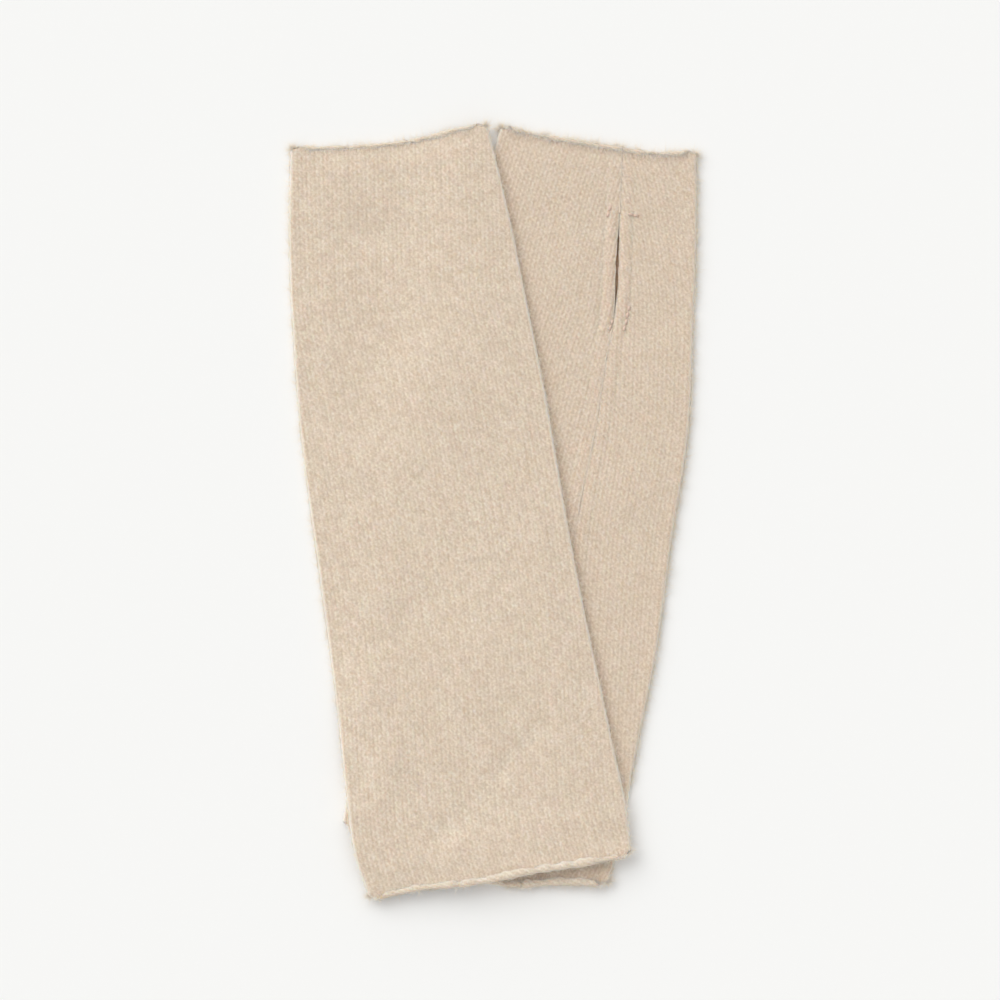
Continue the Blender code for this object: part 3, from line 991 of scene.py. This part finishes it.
def strand_material(name, colour, shines_through=0.0):
    """A hair's or a thread's matt colour, which varies a little. Light shines through a hair."""
    material = bpy.data.materials.new(name)
    material.use_nodes = True
    tree = material.node_tree
    shader = tree.nodes["Principled BSDF"]
    shader.inputs["Roughness"].default_value = 0.9
    shader.inputs["Specular IOR Level"].default_value = 0.2
    shader.inputs["Subsurface Weight"].default_value = shines_through
    shader.inputs["Subsurface Radius"].default_value = (1.0, 0.8, 0.6)
    shader.inputs["Subsurface Scale"].default_value = 2 * HAIR_RADIUS * MM
    darker, lighter = ((*(min(1.0, shade * part) for part in colour), 1) for shade in STRAND_SHADES)
    result = mixed(tree, noise(tree, STRAND_PATCH, 2.0, -600, 0), darker, lighter, -300, 0)
    tree.links.new(result, shader.inputs["Base Color"])
    return material


def add_floor():
    bpy.ops.mesh.primitive_plane_add(size=TABLE_WIDTH * MM)
    floor = bpy.context.object
    floor.name = "table_top"
    material = bpy.data.materials.new("white_table")
    material.use_nodes = True
    shader = material.node_tree.nodes["Principled BSDF"]
    shader.inputs["Base Color"].default_value = TABLE_COLOUR
    shader.inputs["Roughness"].default_value = 0.9
    shader.inputs["Specular IOR Level"].default_value = 0.1
    floor.data.materials.append(material)
    return floor


def light_scene():
    """A bright room, with its broad window light from the upper left."""
    world = bpy.data.worlds.new("studio")
    world.use_nodes = True
    background = world.node_tree.nodes["Background"]
    background.inputs["Color"].default_value = (1, 1, 1, 1)
    background.inputs["Strength"].default_value = ROOM_LIGHT
    bpy.context.scene.world = world
    for strength, wide, high, turn in zip(*LIGHTS.values()):
        light = bpy.data.lights.new("window", "SUN")
        light.energy = strength
        light.angle = math.radians(wide)
        lamp = bpy.data.objects.new("window", light)
        lamp.rotation_euler = (-math.radians(90 - high), 0, math.radians(turn))
        bpy.context.scene.collection.objects.link(lamp)


def add_camera():
    camera = bpy.data.cameras.new("overhead")
    camera.lens = LENS
    camera.sensor_width = SENSOR
    height = VIEW_WIDTH * LENS / SENSOR + FOCUS_HEIGHT
    eye = bpy.data.objects.new("overhead", camera)
    eye.location = (VIEW_MIDDLE[0] * MM, VIEW_MIDDLE[1] * MM, height * MM)
    bpy.context.scene.collection.objects.link(eye)
    bpy.context.scene.camera = eye


def add_piece(mesh, material):
    mesh.materials.append(material)
    piece = bpy.data.objects.new(mesh.name, mesh)
    bpy.context.scene.collection.objects.link(piece)
    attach(piece, "root")
    return piece


def add_warmer(warmer, mesh, material):
    """The knit stands for the warmer's solid, which it hides."""
    knit = add_piece(mesh, material)
    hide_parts(warmer.node)
    girths = girth(warmer, np.linspace(0, LENGTH, COURSES)) + 4 * NAP_INSET
    return knit


def main():
    bpy.context.scene.view_settings.view_transform = "Standard"
    add_camera()
    light_scene()
    table_top = add_floor()
    knit = knit_material()
    hair = strand_material("yarn_hair", HAIR_COLOUR, shines_through=1.0)
    seam_yarn = strand_material("seam_yarn", SEAM_YARN_COLOUR)
    thread = strand_material("sewing_thread", THREAD_COLOUR)

    over_lower = floor_over(smooth_surface(LOWER, bare_table))
    under_upper = covered_by(smooth_surface(UPPER, over_lower))
    lower_mesh = knit_mesh(LOWER, bare_table)
    upper_mesh = knit_mesh(UPPER, over_lower)
    lower_nap = add_piece(nap_mesh(LOWER, lower_mesh, under_upper), hair)
    upper_nap = add_piece(nap_mesh(UPPER, upper_mesh, uncovered), hair)
    lower_seam = add_piece(seam_mesh(LOWER, bare_table), seam_yarn)
    upper_seam = add_piece(seam_mesh(UPPER, over_lower), seam_yarn)
    tacks = add_piece(tack_mesh(LOWER, bare_table), thread)
    lower = add_warmer(LOWER, lower_mesh, knit)
    add_warmer(UPPER, upper_mesh, knit)


main()
